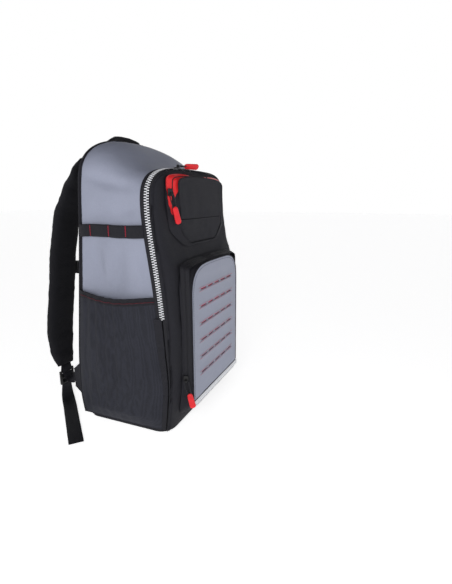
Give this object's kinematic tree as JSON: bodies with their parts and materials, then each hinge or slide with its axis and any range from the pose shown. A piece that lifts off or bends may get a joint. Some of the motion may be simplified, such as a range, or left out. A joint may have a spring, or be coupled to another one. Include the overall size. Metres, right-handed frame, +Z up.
{
  "type": "tackle backpack",
  "caption": "Soft fishing tackle backpack with a hinged front panel, zipped front pockets, mesh side pockets, shoulder straps, sternum strap and haul loop.",
  "frame": {"origin": "centre of the base panel's underside, on the ground", "axes": "+Z up the bag; -Y is the front with the pockets, +Y the back with the shoulder straps; +X is the bag's width"},
  "size_m": [0.4838, 0.3431, 0.5522],
  "materials": {
    "coated_fabric_grey": "coated polyester, satin",
    "fabric_black": "woven polyester, matt",
    "webbing_black": "woven webbing, matt",
    "mesh_charcoal": "knitted mesh, matt",
    "lining_grey": "woven lining over foam, matt",
    "stiffener_board": "polyethylene board",
    "zip_tape_black": "zip tape with moulded teeth",
    "zip_tape_red": "coated water-resistant zip tape, satin",
    "thread_red": "stitching and backing fabric",
    "moulded_black": "moulded acetal, satin",
    "reflective_white": "retroreflective tape",
    "pull_red": "moulded grip on cord"
  },
  "bodies": {
    "pack": {"side_panel_left": "coated_fabric_grey", "side_panel_right": "coated_fabric_grey", "top_panel": "coated_fabric_grey", "back_panel": "fabric_black", "base_panel": "fabric_black", "base_stiffener": "stiffener_board", "frame_sheet": "stiffener_board", "back_pad_left": "mesh_charcoal", "back_pad_right": "mesh_charcoal", "lumbar_pad": "mesh_charcoal", "divider_shelf": "lining_grey", "side_pocket_left": "mesh_charcoal", "side_pocket_right": "mesh_charcoal", "side_pocket_binding_left": "webbing_black", "side_pocket_binding_right": "webbing_black", "side_webbing_left": "webbing_black", "side_webbing_right": "webbing_black", "side_bartacks": "thread_red", "main_zip_tape_body": "zip_tape_black", "shoulder_strap_left": "fabric_black", "shoulder_strap_right": "fabric_black", "strap_anchor_band": "webbing_black", "strap_end_loop_left": "webbing_black", "strap_end_loop_right": "webbing_black", "strap_wing_left": "fabric_black", "strap_wing_right": "fabric_black", "lower_webbing_left": "webbing_black", "lower_webbing_right": "webbing_black", "webbing_tail_left": "webbing_black", "webbing_tail_right": "webbing_black"},
    "front_panel": {"front_panel_face": "fabric_black", "front_gusset": "fabric_black", "main_zip_tape_front": "zip_tape_black", "upper_pocket_gusset": "fabric_black", "upper_pocket_lower_face": "fabric_black", "upper_zip_tape": "zip_tape_red", "lower_pocket_gusset": "fabric_black", "lower_zip_tape": "zip_tape_black", "reflective_strip": "reflective_white"},
    "upper_cover": {"upper_pocket_cover": "fabric_black"},
    "lower_cover": {"lower_pocket_cover": "coated_fabric_grey", "slit_backing": "thread_red"},
    "main_slider": {"main_slider": "moulded_black"},
    "main_pull": {"main_pull": "pull_red"},
    "upper_slider": {"upper_slider": "moulded_black"},
    "upper_pull": {"upper_pull": "pull_red"},
    "lower_slider": {"lower_slider": "moulded_black"},
    "lower_pull": {"lower_pull": "pull_red"},
    "haul_handle": {"haul_loop": "webbing_black", "haul_loop_grip": "fabric_black"},
    "ladder_lock_left": {"ladder_lock_left": "moulded_black"},
    "ladder_lock_right": {"ladder_lock_right": "moulded_black"},
    "sternum_strap": {"sternum_slider_left": "moulded_black", "sternum_slider_right": "moulded_black", "sternum_webbing_left": "webbing_black", "sternum_webbing_right": "webbing_black", "sternum_buckle_female": "moulded_black"},
    "sternum_clip": {"sternum_buckle_male": "moulded_black"}
  },
  "joints": [
    {"name": "front_panel_open", "type": "hinge", "parent": "pack", "child": "front_panel", "pos_m": [0, -0.1, 0.0095], "axis": [1, 0, 0], "range_deg": [0, 45]},
    {"name": "upper_cover_open", "type": "hinge", "parent": "front_panel", "child": "upper_cover", "pos_m": [0, -0.1072, 0.394], "axis": [1, 0, 0], "range_deg": [0, 120]},
    {"name": "lower_cover_open", "type": "hinge", "parent": "front_panel", "child": "lower_cover", "pos_m": [0, -0.1357, 0.058], "axis": [1, 0, 0], "range_deg": [0, 45]},
    {"name": "main_slider_travel", "type": "slide", "parent": "front_panel", "child": "main_slider", "axis": [1, 0, 0], "range_m": [-0.02, 0.1]},
    {"name": "main_pull_swing", "type": "hinge", "parent": "main_slider", "child": "main_pull", "pos_m": [-0.046, -0.07925, 0.48862], "axis": [0, -1, 0], "range_deg": [0, 150]},
    {"name": "upper_slider_travel", "type": "slide", "parent": "front_panel", "child": "upper_slider", "axis": [0.009, 0.0675, 0.9977], "range_m": [-0.034, 0.008]},
    {"name": "upper_pull_swing", "type": "hinge", "parent": "upper_slider", "child": "upper_pull", "pos_m": [-0.11339, -0.10212, 0.438], "axis": [-0.8957, 0.4446, 0], "range_deg": [0, 130]},
    {"name": "lower_slider_travel", "type": "slide", "parent": "front_panel", "child": "lower_slider", "axis": [0, 0, 1], "range_m": [-0.02, 0.13]},
    {"name": "lower_pull_swing", "type": "hinge", "parent": "lower_slider", "child": "lower_pull", "pos_m": [-0.12372, -0.12615, 0.104], "axis": [-0.509, 0.8607, 0], "range_deg": [0, 130]},
    {"name": "haul_handle_flop", "type": "hinge", "parent": "pack", "child": "haul_handle", "pos_m": [0, 0.062, 0.511], "axis": [1, 0, 0], "range_deg": [-70, 20]},
    {"name": "ladder_lock_left_tilt", "type": "hinge", "parent": "pack", "child": "ladder_lock_left", "pos_m": [-0.104, 0.181, 0.066], "axis": [1, 0, 0], "range_deg": [-15, 15]},
    {"name": "ladder_lock_right_tilt", "type": "hinge", "parent": "pack", "child": "ladder_lock_right", "pos_m": [0.104, 0.181, 0.066], "axis": [1, 0, 0], "range_deg": [-15, 15]},
    {"name": "sternum_strap_travel", "type": "slide", "parent": "pack", "child": "sternum_strap", "axis": [0, -0.1483, 0.9889], "range_m": [-0.025, 0.025]},
    {"name": "sternum_clip_release", "type": "slide", "parent": "sternum_strap", "child": "sternum_clip", "axis": [1, 0, 0], "range_m": [0, 0.016]}
  ]
}
